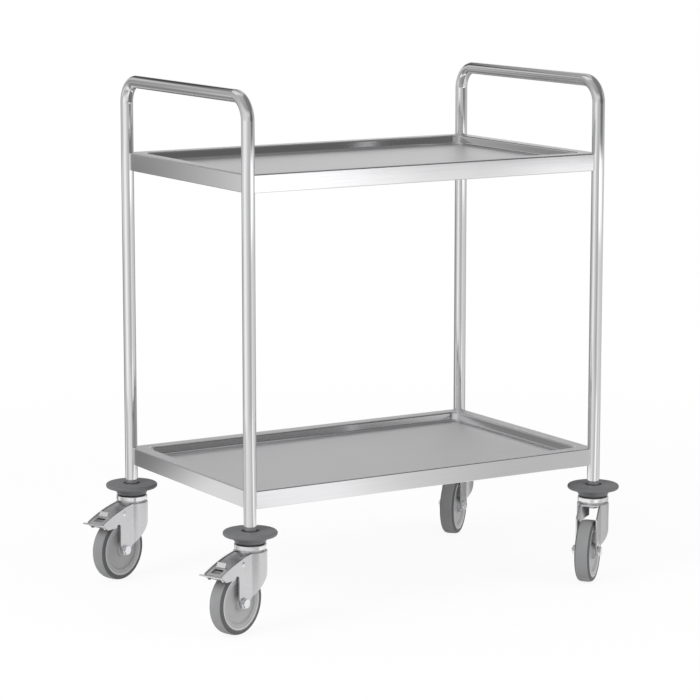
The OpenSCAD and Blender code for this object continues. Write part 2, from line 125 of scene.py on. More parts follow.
def pick(kind, wanted):                  # selects the parts of the open mesh that are wanted
    bpy.ops.mesh.select_mode(type=kind)
    bpy.ops.mesh.select_all(action="DESELECT")
    mesh = bpy.context.edit_object.data
    shape = bmesh.from_edit_mesh(mesh)
    parts = {"VERT": shape.verts, "EDGE": shape.edges}[kind]
    for part in parts:
        if wanted(part):
            part.select_set(True)
    shape.select_flush_mode()
    bmesh.update_edit_mesh(mesh)


def closeSeams():                        # joins what meets in the open mesh, and turns its faces outwards
    bpy.ops.mesh.select_all(action="SELECT")
    bpy.ops.mesh.remove_doubles(threshold=closeness["merge"])
    bpy.ops.mesh.normals_make_consistent(inside=False)


def middle(edge):
    return (edge.verts[0].co + edge.verts[1].co) / 2


def same(one, other):
    return abs(one - other) < closeness["same"]


def extrude(x, y, z):                    # draws the selection out by this step
    bpy.ops.mesh.extrude_region_move(TRANSFORM_OT_translate={"value": (x, y, z)})


def bendEdges(wanted, radius, steps):    # rounds the edges that are wanted
    pick("EDGE", wanted)
    bpy.ops.mesh.bevel(offset=radius, segments=steps, affect="EDGES")


def thicken(piece, name, thickness):     # the surface becomes the outside of a sheet
    sheet = piece.modifiers.new(name, "SOLIDIFY")
    sheet.thickness = thickness
    sheet.offset = -1
    sheet.use_even_offset = True
    applyAll(piece)


def softEdges(piece, width, angle, segments=2):
    bevel = piece.modifiers.new("softEdges", "BEVEL")
    bevel.width = width
    bevel.segments = segments
    bevel.limit_method = "ANGLE"
    bevel.angle_limit = math.radians(angle)
    bevel.use_clamp_overlap = True
    applyAll(piece)


def smooth(piece, angle=35):             # rounds shade round and flats stay flat
    makeActive(piece)
    bpy.ops.object.shade_smooth_by_angle(angle=math.radians(angle))
    flats = piece.modifiers.new("flats", "WEIGHTED_NORMAL")
    flats.mode = "FACE_AREA"
    flats.weight = 60
    flats.keep_sharp = True
    applyAll(piece)


def cutWith(piece, tool, operation="DIFFERENCE"):
    cut = piece.modifiers.new("cut", "BOOLEAN")
    cut.operation = operation
    cut.solver = "EXACT"
    cut.object = tool
    applyAll(piece)
    bpy.data.objects.remove(tool)


def named(piece, name):
    piece.name = name
    piece.data.name = name
    return piece


def finish(piece, material, body, slot, *nodes):
    piece.data.materials.clear()
    piece.data.materials.append(material)
    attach(piece, body)
    if nodes:
        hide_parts(*nodes)


def copyTo(model, name, place, turn=0):  # a copy with its own mesh, put at a leg
    makeActive(model)
    bpy.ops.object.duplicate()
    piece = named(bpy.context.active_object, name)
    piece.location = place
    piece.rotation_euler = (0, 0, turn)
    applyPlace()
    return piece


def rounded(outline, steps):             # closed outline of (across, up, corner radius), its corners as arcs
    points = []
    for here in range(len(outline)):
        before, corner, after = [Vector(outline[(here + k) % len(outline)][:2]) for k in (-1, 0, 1)]
        radius = outline[here][2]
        if radius == 0:
            points.append(corner)
            continue
        toBefore = (before - corner).normalized()
        toAfter = (after - corner).normalized()
        half = toBefore.angle(toAfter) / 2
        centre = corner + (toBefore + toAfter).normalized() * (radius / math.sin(half))
        start = corner + toBefore * (radius / math.tan(half)) - centre
        end = corner + toAfter * (radius / math.tan(half)) - centre
        turn = start.angle_signed(end)
        for k in range(steps + 1):
            a = -turn * k / steps
            points.append(centre + Vector((start.x * math.cos(a) - start.y * math.sin(a),
                                           start.x * math.sin(a) + start.y * math.cos(a))))
    return points


def drawOutline(name, places):           # a face round the places, drawn by extruding a vertex
    deselectAll()
    bpy.ops.mesh.primitive_plane_add(size=mm, location=places[0])
    piece = named(bpy.context.object, name)
    applyPlace()
    bpy.ops.object.mode_set(mode="EDIT")
    bpy.ops.mesh.select_mode(type="VERT")
    bpy.ops.mesh.select_all(action="SELECT")
    bpy.ops.mesh.merge(type="CENTER")
    for here, there in zip(places, places[1:]):
        extrude(*(there - here))
    bpy.ops.mesh.select_all(action="SELECT")
    bpy.ops.mesh.edge_face_add()
    return piece


def turned(name, outline, centre, axis, steps, arcSteps):
    # spins a closed outline of (radius, along the axis, corner radius) round the axis
    out = Vector((1, 0, 0))
    places = [centre + out * p.x + axis * p.y for p in rounded(outline, arcSteps)]
    piece = drawOutline(name, places)
    bpy.ops.mesh.delete(type="ONLY_FACE")
    bpy.ops.mesh.select_all(action="SELECT")
    bpy.ops.mesh.spin(steps=steps, angle=math.tau, center=centre, axis=axis)
    closeSeams()
    bpy.ops.object.mode_set(mode="OBJECT")
    smooth(piece)
    return piece


# Surface effects that several materials share

def newGroup(name, inputs, outputs):
    group = bpy.data.node_groups.new(name, "ShaderNodeTree")
    for label, kind, value in inputs:
        socket = group.interface.new_socket(label, in_out="INPUT", socket_type=kind)
        socket.default_value = value
    for label, kind in outputs:
        group.interface.new_socket(label, in_out="OUTPUT", socket_type=kind)
    return group, group.nodes.new("NodeGroupInput"), group.nodes.new("NodeGroupOutput")


def addNode(tree, kind, position, **settings):
    node = tree.nodes.new(kind)
    node.location = position
    for key, value in settings.items():
        setattr(node, key, value)
    return node


def makeGrain():                         # fine drawn lines; Stretch is lines per metre along each axis
    inputs = [("Stretch", "NodeSocketVector", (20, 900, 900)),
              ("Low", "NodeSocketFloat", 0.3), ("High", "NodeSocketFloat", 0.7)]
    group, start, end = newGroup("drawnGrain", inputs, [("Grain", "NodeSocketFloat")])
    where = addNode(group, "ShaderNodeTexCoord", (-700, 0))
    fit = addNode(group, "ShaderNodeMapping", (-500, 0))
    lines = addNode(group, "ShaderNodeTexNoise", (-300, 0))
    lines.inputs["Scale"].default_value = 1
    lines.inputs["Detail"].default_value = 3
    lines.inputs["Roughness"].default_value = 0.62
    spread = addNode(group, "ShaderNodeMapRange", (-100, 0))
    group.links.new(where.outputs["Object"], fit.inputs["Vector"])
    group.links.new(start.outputs["Stretch"], fit.inputs["Scale"])
    group.links.new(fit.outputs["Vector"], lines.inputs["Vector"])
    group.links.new(lines.outputs["Fac"], spread.inputs["Value"])
    group.links.new(start.outputs["Low"], spread.inputs["From Min"])
    group.links.new(start.outputs["High"], spread.inputs["From Max"])
    group.links.new(spread.outputs["Result"], end.inputs["Grain"])
    return group


def makeMottle():                        # slow cloudy change, such as handling and haze leave
    inputs = [("Size", "NodeSocketFloat", 8.0), ("Contrast", "NodeSocketFloat", 1.0)]
    group, start, end = newGroup("mottle", inputs, [("Mottle", "NodeSocketFloat")])
    where = addNode(group, "ShaderNodeTexCoord", (-700, 0))
    cloud = addNode(group, "ShaderNodeTexNoise", (-500, 0))
    cloud.inputs["Detail"].default_value = 4
    cloud.inputs["Distortion"].default_value = 0.4
    centred = addNode(group, "ShaderNodeMath", (-300, 0), operation="SUBTRACT")
    centred.inputs[1].default_value = 0.5
    scaled = addNode(group, "ShaderNodeMath", (-150, 0), operation="MULTIPLY")
    back = addNode(group, "ShaderNodeMath", (0, 0), operation="ADD", use_clamp=True)
    back.inputs[1].default_value = 0.5
    group.links.new(where.outputs["Object"], cloud.inputs["Vector"])
    group.links.new(start.outputs["Size"], cloud.inputs["Scale"])
    group.links.new(cloud.outputs["Fac"], centred.inputs[0])
    group.links.new(centred.outputs[0], scaled.inputs[0])
    group.links.new(start.outputs["Contrast"], scaled.inputs[1])
    group.links.new(scaled.outputs[0], back.inputs[0])
    group.links.new(back.outputs[0], end.inputs["Mottle"])
    return group


def makeFacingUp():                      # 1 on what lies flat, 0 on what stands
    group, start, end = newGroup("facingUp", [("From", "NodeSocketFloat", 0.55)], [("Up", "NodeSocketFloat")])
    facing = addNode(group, "ShaderNodeNewGeometry", (-700, 100))
    split = addNode(group, "ShaderNodeSeparateXYZ", (-500, 100))
    level = addNode(group, "ShaderNodeMapRange", (-300, 100))
    group.links.new(facing.outputs["Normal"], split.inputs["Vector"])
    group.links.new(split.outputs["Z"], level.inputs["Value"])
    group.links.new(start.outputs["From"], level.inputs["From Min"])
    group.links.new(level.outputs["Result"], end.inputs["Up"])
    return group


def makeDust():                          # light dust that settles on what faces up
    group, start, end = newGroup("dust", [("Amount", "NodeSocketFloat", 0.3)], [("Dust", "NodeSocketFloat")])
    level = addNode(group, "ShaderNodeGroup", (-300, 100), node_tree=facingUp)
    where = addNode(group, "ShaderNodeTexCoord", (-700, -150))
    specks = addNode(group, "ShaderNodeTexNoise", (-500, -150))
    specks.inputs["Scale"].default_value = 160
    specks.inputs["Detail"].default_value = 5
    both = addNode(group, "ShaderNodeMath", (-100, 0), operation="MULTIPLY")
    amount = addNode(group, "ShaderNodeMath", (50, 0), operation="MULTIPLY", use_clamp=True)
    group.links.new(where.outputs["Object"], specks.inputs["Vector"])
    group.links.new(level.outputs["Up"], both.inputs[0])
    group.links.new(specks.outputs["Fac"], both.inputs[1])
    group.links.new(both.outputs[0], amount.inputs[0])
    group.links.new(start.outputs["Amount"], amount.inputs[1])
    group.links.new(amount.outputs[0], end.inputs["Dust"])
    return group


drawnGrain = makeGrain()
mottle = makeMottle()
facingUp = makeFacingUp()
dust = makeDust()


# Materials

def newMaterial(name, metallic, roughness, specular):
    material = bpy.data.materials.new(name)
    material.use_nodes = True
    tree = material.node_tree
    shader = tree.nodes["Principled BSDF"]
    shader.inputs["Metallic"].default_value = metallic
    shader.inputs["Roughness"].default_value = roughness
    shader.inputs["Specular IOR Level"].default_value = specular
    return material, tree, shader


def placeGroup(tree, group, position, **values):
    node = addNode(tree, "ShaderNodeGroup", position, node_tree=group)
    for label, value in values.items():
        node.inputs[label].default_value = value
    return node


def between(tree, value, low, high, position):   # turns a 0 to 1 value into a range
    node = addNode(tree, "ShaderNodeMapRange", position)
    node.inputs["To Min"].default_value = low
    node.inputs["To Max"].default_value = high
    tree.links.new(value, node.inputs["Value"])
    return node.outputs["Result"]


def blendColour(tree, factor, dark, light, position):
    node = addNode(tree, "ShaderNodeMix", position, data_type="RGBA")
    for label, colour in (("A", dark), ("B", light)):
        socket = [s for s in node.inputs if s.name == label and s.type == "RGBA"][0]
        if isinstance(colour, tuple):
            socket.default_value = (*colour, 1)
        else:
            tree.links.new(colour, socket)
    tree.links.new(factor, node.inputs["Factor"])
    return [s for s in node.outputs if s.type == "RGBA"][0]


def relief(tree, height, shader, depth):
    node = addNode(tree, "ShaderNodeBump", (-250, -300))
    node.inputs["Strength"].default_value = 1.0
    node.inputs["Distance"].default_value = depth
    tree.links.new(height, node.inputs["Height"])
    tree.links.new(node.outputs["Normal"], shader.inputs["Normal"])


def steel(name, dark, light, roughness, stretch, depth, clouds, upRoughness=None):
    material, tree, shader = newMaterial(name, metallic=1.0, roughness=roughness[0], specular=0.5)
    grain = placeGroup(tree, drawnGrain, (-900, 0), Stretch=stretch)
    haze = placeGroup(tree, mottle, (-900, -250), Size=clouds, Contrast=1.4)
    # half grain, half haze
    tone = addNode(tree, "ShaderNodeMath", (-700, 100), operation="MULTIPLY_ADD")
    tone.inputs[1].default_value = 0.5
    half = addNode(tree, "ShaderNodeMath", (-700, -100), operation="MULTIPLY")
    half.inputs[1].default_value = 0.5
    tree.links.new(haze.outputs["Mottle"], half.inputs[0])
    tree.links.new(grain.outputs["Grain"], tone.inputs[0])
    tree.links.new(half.outputs[0], tone.inputs[2])
    colour = blendColour(tree, tone.outputs[0], dark, light, (-450, 150))
    tree.links.new(colour, shader.inputs["Base Color"])
    rough = between(tree, tone.outputs[0], roughness[1], roughness[0], (-450, -100))
    if upRoughness:                      # trays that are wiped and set down on lose their shine
        up = placeGroup(tree, facingUp, (-700, -350))
        worn = addNode(tree, "ShaderNodeMapRange", (-250, -100))
        worn.inputs["To Max"].default_value = upRoughness
        tree.links.new(up.outputs["Up"], worn.inputs["Value"])
        tree.links.new(rough, worn.inputs["To Min"])
        rough = worn.outputs["Result"]
    tree.links.new(rough, shader.inputs["Roughness"])
    relief(tree, grain.outputs["Grain"], shader, depth)
    return material


def plastic(name, dark, light, roughness, pitScale, depth, dustColour=None, dustAmount=0.0):
    material, tree, shader = newMaterial(name, metallic=0.0, roughness=roughness[0], specular=0.4)
    tint = placeGroup(tree, mottle, (-900, 0), Size=22.0, Contrast=1.5)
    where = addNode(tree, "ShaderNodeTexCoord", (-900, -300))
    pits = addNode(tree, "ShaderNodeTexNoise", (-700, -300))
    pits.inputs["Scale"].default_value = pitScale
    pits.inputs["Detail"].default_value = 3
    tree.links.new(where.outputs["Object"], pits.inputs["Vector"])
    colour = blendColour(tree, tint.outputs["Mottle"], dark, light, (-650, 150))
    if dustColour:
        veil = placeGroup(tree, dust, (-900, 250), Amount=dustAmount)
        colour = blendColour(tree, veil.outputs["Dust"], colour, dustColour, (-400, 200))
    tree.links.new(colour, shader.inputs["Base Color"])
    rough = between(tree, pits.outputs["Fac"], roughness[0], roughness[1], (-450, -100))
    tree.links.new(rough, shader.inputs["Roughness"])
    relief(tree, pits.outputs["Fac"], shader, depth)
    return material


# darkest and lightest colour, roughness from and to, lines of grain per metre, their depth, clouds per metre
tubeSteel = steel("polishedTube", (0.82, 0.82, 0.83), (0.88, 0.88, 0.89), (0.06, 0.11),
                  (700, 700, 14), 0.002 * mm, 6)
shelfSteel = steel("satinSheet", (0.70, 0.70, 0.71), (0.78, 0.78, 0.79), (0.09, 0.14),
                   (10, 1100, 1100), 0.003 * mm, 4, upRoughness=0.42)
forkSteel = steel("pressedSheet", (0.60, 0.60, 0.61), (0.67, 0.67, 0.68), (0.24, 0.32),
                  (900, 900, 900), 0.0015 * mm, 30)
headSteel = steel("polishedHead", (0.82, 0.82, 0.83), (0.89, 0.89, 0.90), (0.12, 0.20),
                  (60, 60, 1400), 0.003 * mm, 30)
leverSteel = steel("leverSheet", (0.76, 0.76, 0.77), (0.84, 0.84, 0.85), (0.28, 0.40),
                   (900, 900, 900), 0.002 * mm, 30)
tongueSteel = steel("releaseTongue", (0.86, 0.86, 0.87), (0.93, 0.93, 0.94), (0.24, 0.34),
                    (900, 900, 900), 0.002 * mm, 60)
boltSteel = steel("platedBolt", (0.74, 0.75, 0.77), (0.86, 0.87, 0.89), (0.16, 0.28),
                  (600, 600, 600), 0.006 * mm, 60)
plugSteel = steel("turnedPlug", (0.45, 0.45, 0.47), (0.56, 0.56, 0.58), (0.30, 0.42),
                  (60, 60, 1500), 0.008 * mm, 30)
bearingSteel = steel("groundBearing", (0.58, 0.58, 0.60), (0.68, 0.68, 0.70), (0.14, 0.24),
                     (700, 700, 700), 0.002 * mm, 60)
# painted shade: the balls are made near black so that the gap under the head reads as shade
ballPaintedShade = steel("darkBallsPaintedShade", (0.12, 0.12, 0.12), (0.22, 0.22, 0.22), (0.30, 0.45),
                  (500, 500, 500), 0.02 * mm, 60)
# the shoe's dull steel, its tone also darkened as painted shade under the lever's lip
shoeSteel = steel("shoeBlock", (0.40, 0.40, 0.41), (0.50, 0.50, 0.51), (0.36, 0.50),
                  (500, 500, 500), 0.02 * mm, 60)
# darkest and lightest colour, roughness from and to, pits per metre, their depth, colour and share of the dust
bumperPlastic = plastic("bumperPlastic", (0.130, 0.131, 0.136), (0.158, 0.159, 0.165), (0.40, 0.54),
                        1900, 0.02 * mm, (0.34, 0.34, 0.34), 0.10)
wheelPlastic = plastic("wheelPlastic", (0.37, 0.37, 0.375), (0.42, 0.42, 0.425), (0.36, 0.50),
                       1500, 0.012 * mm)
# painted highlight: the rim's lip is given a lighter plastic that stands in for the shine along it
rimHighlightPlastic = plastic("rimRingPaintedHighlight", (0.56, 0.56, 0.565), (0.64, 0.64, 0.645), (0.32, 0.44),
                     1500, 0.008 * mm)
tyreRubber = plastic("tyreRubber", (0.235, 0.236, 0.240), (0.285, 0.286, 0.290), (0.58, 0.74),
                     900, 0.03 * mm, (0.42, 0.42, 0.41), 0.08)
# painted shade: a darker rubber ring over the tyre's shoulder stands in for the shade there
wallPaintedShade = plastic("sideWallPaintedShade", (0.085, 0.086, 0.090), (0.115, 0.116, 0.120), (0.50, 0.64),
                     900, 0.02 * mm)

nodeMaterials = {                        # by how the node's name starts
    "end_frame": tubeSteel, "upper_shelf": shelfSteel, "lower_shelf": shelfSteel, "stem_bolts": boltSteel,
    "bumper": bumperPlastic, "plug": plugSteel, "head": headSteel, "balls": ballPaintedShade, "fork": forkSteel,
    "axle": boltSteel, "nut": boltSteel, "wheel": wheelPlastic, "tyre": tyreRubber, "bearings": bearingSteel,
    "lever": leverSteel, "pin": boltSteel, "shoe": shoeSteel,
}
for nodeName, node in frame["nodes"].items():
    for part, material in nodeMaterials.items():
        if nodeName.startswith(part):
            for socket in node.material_slots:
                socket.material = material
print("materials made:", len(bpy.data.materials))


# Shelves: each one sheet, pressed and folded

shelf = {
    "sheet": 1.2 * mm,
    "rimWidth": 27 * mm,
    "deckDrop": 18 * mm,
    "wallLean": 4 * mm,
    "cornerRadius": 16 * mm,
    "rimBend": 3.5 * mm,
    "deckBend": 4 * mm,
    "foldRadius": 2.5 * mm,
    "hemWidth": 12 * mm,
    "hemFold": 1.5 * mm,
    "tubeGap": 0.1 * mm,
    "bendSteps": 4,
    "cornerSteps": 8,
    "hemSteps": 2,
    "notchSteps": 48,
    "leaning": 0.6,                      # a wall's faces point up less than this
    "lying": 0.95,                       # the deck's and the rim's more than this
    "shadeAngle": 30,
}


def wallEdge(edge):                      # one of its faces leans, the other lies flat
    ups = sorted(abs(face.normal.z) for face in edge.link_faces)
    return len(ups) == 2 and ups[0] < shelf["leaning"] and ups[1] > shelf["lying"]


def drawIn(centre, length, width, height, step):   # draws the selected outline in on all sides
    bpy.ops.transform.resize(value=(1 - 2 * step / length, 1 - 2 * step / width, 1),
                             center_override=(centre.x, centre.y, height))


def modelShelf(name, node):
    low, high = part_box(node)
    centre = (low + high) / 2
    length, width = high.x - low.x, high.y - low.y
    rimHeight, deckHeight = high.z, high.z - shelf["deckDrop"]
    deselectAll()
    bpy.ops.mesh.primitive_plane_add(size=1, location=(centre.x, centre.y, rimHeight))
    piece = named(bpy.context.object, name)
    piece.scale = (length, width, 1)
    editReady(piece)
    bpy.ops.mesh.inset(thickness=shelf["rimWidth"])
    extrude(0, 0, -shelf["deckDrop"])
    drawIn(centre, length - 2 * shelf["rimWidth"], width - 2 * shelf["rimWidth"], deckHeight, shelf["wallLean"])
    # the pan's upright corners, then its bends at the deck and at the rim
    bendEdges(lambda e: abs(e.verts[0].co.z - e.verts[1].co.z) > shelf["deckDrop"] / 2,
              shelf["cornerRadius"], shelf["cornerSteps"])
    bendEdges(lambda e: same(middle(e).z, deckHeight) and wallEdge(e), shelf["deckBend"], shelf["bendSteps"])
    bendEdges(lambda e: same(middle(e).z, rimHeight) and wallEdge(e), shelf["rimBend"], shelf["bendSteps"])
    # aprons and hems
    pick("EDGE", lambda e: e.is_boundary)
    extrude(0, 0, low.z - rimHeight)
    extrude(0, 0, 0)
    drawIn(centre, length, width, low.z, shelf["hemWidth"])

    def outermost(edge):                 # lies on the shelf's outline
        spot = middle(edge) - centre
        return same(abs(spot.x), length / 2) or same(abs(spot.y), width / 2)

    bendEdges(lambda e: outermost(e) and same(middle(e).z, rimHeight), shelf["foldRadius"], shelf["bendSteps"])
    bendEdges(lambda e: outermost(e) and same(middle(e).z, low.z), shelf["hemFold"], shelf["hemSteps"])
    bpy.ops.mesh.select_all(action="SELECT")
    bpy.ops.mesh.normals_make_consistent(inside=False)
    shape = bmesh.from_edit_mesh(piece.data)
    deck = max(shape.faces, key=lambda f: f.calc_area())
    if deck.normal.z < 0:
        bpy.ops.mesh.flip_normals()
    deselectAll()
    thicken(piece, "sheet", shelf["sheet"])
    for corner in corners:               # a notch for each leg
        leg = swivelPlace(corner)
        deselectAll()
        bpy.ops.mesh.primitive_cylinder_add(vertices=shelf["notchSteps"], radius=tubeRadius + shelf["tubeGap"],
                                            depth=4 * (rimHeight - low.z), location=(leg.x, leg.y, centre.z))
        cutWith(piece, bpy.context.object)
    smooth(piece, shelf["shadeAngle"])
    return piece


for storey in ("upper", "lower"):
    piece = modelShelf(storey + "Shelf", storey + "_shelf")
    finish(piece, shelfSteel, "frame", "shelf_steel", storey + "_shelf")
print("shelves folded")


# End frames: each a round tube bent twice

endFrame = {
    "bendRadius": 45 * mm,
    "wall": 1.5 * mm,
    "roundSteps": 40,
    "bendSteps": 20,
    "shadeAngle": 40,
}


def quarterBend(x, y, z):                # bends the open tube on by a quarter, round a line along X
    bpy.ops.mesh.spin(steps=endFrame["bendSteps"], angle=math.pi / 2, center=(x, y, z), axis=(1, 0, 0))


def modelEndFrame(name, node):
    low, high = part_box(node)
    near, far = low.y + tubeRadius, high.y - tubeRadius
    axisX, axisTop = low.x + tubeRadius, high.z - tubeRadius
    bend = endFrame["bendRadius"]
    rise, run = axisTop - bend - low.z, far - near - 2 * bend
    deselectAll()
    bpy.ops.mesh.primitive_circle_add(vertices=endFrame["roundSteps"], radius=tubeRadius,
                                      location=(axisX, near, low.z))
    piece = named(bpy.context.object, name)
    editReady(piece)
    extrude(0, 0, rise)
    quarterBend(axisX, near + bend, axisTop - bend)
    extrude(0, run, 0)
    quarterBend(axisX, far - bend, axisTop - bend)
    extrude(0, 0, -rise)
    closeSeams()
    deselectAll()
    thicken(piece, "wall", endFrame["wall"])
    smooth(piece, endFrame["shadeAngle"])
    return piece


for side in sides:
    piece = modelEndFrame("endFrame" + side.capitalize(), "end_frame_" + side)
    finish(piece, tubeSteel, "frame", "tube_steel", "end_frame_" + side)
print("end frames bent")


# Bumper discs: turned, with a hub below and a sunken ring round the tube

bumperLow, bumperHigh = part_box("bumper_front_left")
bumper = {
    "discRadius": (bumperHigh.x - bumperLow.x) / 2,
    "discThickness": 10 * mm,
    "hubTop": 35 * mm,
    "hubFoot": 27 * mm,
    "footBend": 8 * mm,
    "hubBend": 3 * mm,
    "bore": tubeRadius + 0.1 * mm,
    "collarBore": tubeRadius + 3.2 * mm,
    "collarHeight": 9 * mm,
    "ringWidth": 4.5 * mm,
    "ringDepth": 3.5 * mm,
    "dome": 0.5 * mm,
    "domeFrom": 0.55,                    # share of the disc's radius where its top begins to fall
    "steps": 72,
}


def modelBumper():
    b = bumper
    top, low = bumperHigh.z, bumperLow.z
    under = top - b["discThickness"]
    rim = b["discRadius"]
    outline = [                          # (radius, height, corner radius)
        (b["bore"], low + b["collarHeight"], 0),
        (b["bore"], top - b["ringDepth"], 0),
        (b["bore"] + b["ringWidth"] - 0.6 * mm, top - b["ringDepth"], 1.2 * mm),
        (b["bore"] + b["ringWidth"], top - b["dome"], 0.5 * mm),
        (rim * b["domeFrom"], top, 8 * mm),
        (rim, top - b["dome"], 4.4 * mm),
        (rim, under, 4.8 * mm),
        (b["hubTop"], under, b["hubBend"]),
        (b["hubFoot"] + 1.5 * mm, low, b["footBend"]),
        (b["collarBore"], low, 0.3 * mm),
        (b["collarBore"], low + b["collarHeight"], 0),
    ]
    return turned("bumperModel", outline, origin, upward, b["steps"], 7)


model = modelBumper()
for corner in corners:
    piece = copyTo(model, "bumper_disc_" + corner, swivelPlace(corner))
    finish(piece, bumperPlastic, "frame", "bumper_plastic", "bumper_" + corner)
bpy.data.objects.remove(model)
print("bumpers turned")


# Wheels and tyres, turned round the axle of a caster that trails along +X

wheelCentre = Vector((trail, 0, axlePlace.z))
wheel = {
    "radius": 62.5 * mm,
    "tyreWidth": 30 * mm,
    "tyreThickness": 10 * mm,
    "tyreSeat": 0.1 * mm,                # between the tyre and the wheel centre
    "shoulder": 6.5 * mm,
    "crown": 0.8 * mm,                   # fall of the tread to its shoulders
    "treadFlat": 0.35,                   # share of the tread that stays flat
    "rimWidth": 27 * mm,
    "rimHeight": 11 * mm,
    "web": 19 * mm,
    "bossRadius": 15.5 * mm,
    "bossWidth": 36 * mm,
    "bearingRadius": 11 * mm,
    "bearingDepth": 7.4 * mm,
    "axleHole": 8 * mm,
    "steps": 96,
}
rimOut = wheel["radius"] - wheel["tyreThickness"]
tyreIn = rimOut + wheel["tyreSeat"]
shoulderOut = wheel["radius"] - wheel["crown"]


def mirrored(half):   # (radius, across, corner radius), and the same again on the other side of the wheel
    return half + [(radius, -across, corner) for radius, across, corner in reversed(half)]


def modelWheel():
    w = wheel
    rimIn = rimOut - w["rimHeight"]
    half = w["bossWidth"] / 2
    section = mirrored([
        (w["axleHole"], half - w["bearingDepth"], 0),
        (w["bearingRadius"], half - w["bearingDepth"], 0),
        (w["bearingRadius"], half, 0.4 * mm),
        (w["bossRadius"] - 0.8 * mm, half, 1 * mm),
        (w["bossRadius"] + 0.6 * mm, w["web"] / 2 + 1.6 * mm, 1.2 * mm),
        (w["bossRadius"] + 4 * mm, w["web"] / 2, 2.5 * mm),
        (rimIn - 2.6 * mm, w["web"] / 2, 2.4 * mm),
        (rimIn + 0.4 * mm, w["rimWidth"] / 2 - 0.4 * mm, 1.2 * mm),
        (rimIn + 3 * mm, w["rimWidth"] / 2, 1.2 * mm),
        (rimOut - 3.2 * mm, w["rimWidth"] / 2, 0.6 * mm),
        (rimOut - 2.4 * mm, w["rimWidth"] / 2 - 0.7 * mm, 0),
        (rimOut, w["rimWidth"] / 2 - 0.7 * mm, 0.3 * mm),
    ])
    return turned("wheelModel", section, wheelCentre, acrossWheel, w["steps"], 4)


def modelTyre():
    w = wheel
    half = w["tyreWidth"] / 2
    section = mirrored([
        (tyreIn, half - 1.2 * mm, 0.6 * mm),
        (tyreIn + 1.6 * mm, half, 1 * mm),
        (shoulderOut, half, w["shoulder"]),
        (w["radius"], half * w["treadFlat"], 12 * mm),
    ])
    return turned("tyreModel", section, wheelCentre, acrossWheel, w["steps"], 6)


def modelRim():                          # the lip between the wheel centre and its tyre, in a lighter plastic as a painted highlight
    half = wheel["rimWidth"] / 2
    section = mirrored([
        (rimOut - 2.2 * mm, half - 1.2 * mm, 0),
        (rimOut - 3.4 * mm, half - 0.4 * mm, 0.3 * mm),
        (rimOut - 2.2 * mm, half + 0.6 * mm, 0.5 * mm),
        (rimOut - 0.1 * mm, half + 0.6 * mm, 0.5 * mm),
        (rimOut - 0.1 * mm, half - 1.2 * mm, 0),
    ])
    return turned("rimModel", section, wheelCentre, acrossWheel, wheel["steps"], 3)


sideWall = {                             # the band of painted shade from the lip of the rim to the tread, laid over the tyre's shoulder
    "proud": 0.12 * mm,
    "depth": 0.4 * mm,
    "steps": 5,
    "arc": 56,                           # degrees of the tyre's shoulder that it covers
}


def modelSideWall():
    w = wheel
    half = w["tyreWidth"] / 2
    # middle of the shoulder's arc, which lies further out as the tread leans towards it
    lean = math.atan2(w["crown"], (1 - w["treadFlat"]) * half)
    middleOut = shoulderOut - w["shoulder"] / math.tan(math.pi / 4 + lean / 2)
    middleAcross = half - w["shoulder"]
    outer = w["shoulder"] + sideWall["proud"]
    inner = outer - sideWall["depth"]
    last = math.radians(sideWall["arc"])
    arc = []
    for k in range(sideWall["steps"] + 1):
        a = last * k / sideWall["steps"]
        arc.append((middleOut + outer * math.sin(a), middleAcross + outer * math.cos(a), 0))
    section = mirrored([
        (tyreIn + 0.5 * mm, half - 1.4 * mm, 0),
        (tyreIn + 1.5 * mm, half + sideWall["proud"], 0.3 * mm),
        *arc,
        (middleOut + inner * math.sin(last), middleAcross + inner * math.cos(last), 0),
    ])
    return turned("sideWallModel", section, wheelCentre, acrossWheel, w["steps"], 3)


wheelModel, tyreModel, rimModel, wallModel = modelWheel(), modelTyre(), modelRim(), modelSideWall()
for corner in corners:
    place, turn = swivelPlace(corner), heading(corner)
    piece = copyTo(wheelModel, "wheel_centre_" + corner, place, turn)
    finish(piece, wheelPlastic, "roller_" + corner, "wheel_plastic", "wheel_" + corner)
    piece = copyTo(tyreModel, "tyre_tread_" + corner, place, turn)
    finish(piece, tyreRubber, "roller_" + corner, "tyre_rubber", "tyre_" + corner)
    piece = copyTo(rimModel, "rim_ring_" + corner, place, turn)
    finish(piece, rimHighlightPlastic, "roller_" + corner, "wheel_plastic")
    piece = copyTo(wallModel, "side_wall_" + corner, place, turn)
    finish(piece, wallPaintedShade, "roller_" + corner, "tyre_rubber")
for model in (wheelModel, tyreModel, rimModel, wallModel):
    bpy.data.objects.remove(model)
print("wheels turned")


# Pressed sheets: the shapes from the frame with their edges broken, as a press leaves them

pressed = {
    "edge": 0.45 * mm,
    "leverEdge": 0.35 * mm,
    "shoeEdge": 0.8 * mm,
    "corner": 34,                        # degrees from which an edge is broken and no longer shades round
    "merge": 0.002 * mm,
    "flat": 0.4,                         # degrees within which faces become one
}


def fromFrame(node, name):               # a copy of a node's shape, its flats made whole
    makeActive(frame["nodes"][node])
    bpy.ops.object.duplicate()
    piece = named(bpy.context.active_object, name)
    piece.parent = None
    for key in list(piece.keys()):
        del piece[key]
    editAll(piece)
    bpy.ops.mesh.customdata_custom_splitnormals_clear()
    bpy.ops.mesh.remove_doubles(threshold=pressed["merge"])
    bpy.ops.mesh.select_all(action="SELECT")
    bpy.ops.mesh.dissolve_limited(angle_limit=math.radians(pressed["flat"]))
    deselectAll()
    return piece


def breakEdges(piece, width):
    softEdges(piece, width, pressed["corner"])
    smooth(piece, pressed["corner"])


def modelFork(corner):
    piece = fromFrame("fork_" + corner, "fork_sheet_" + corner)
    breakEdges(piece, pressed["edge"])
    return piece


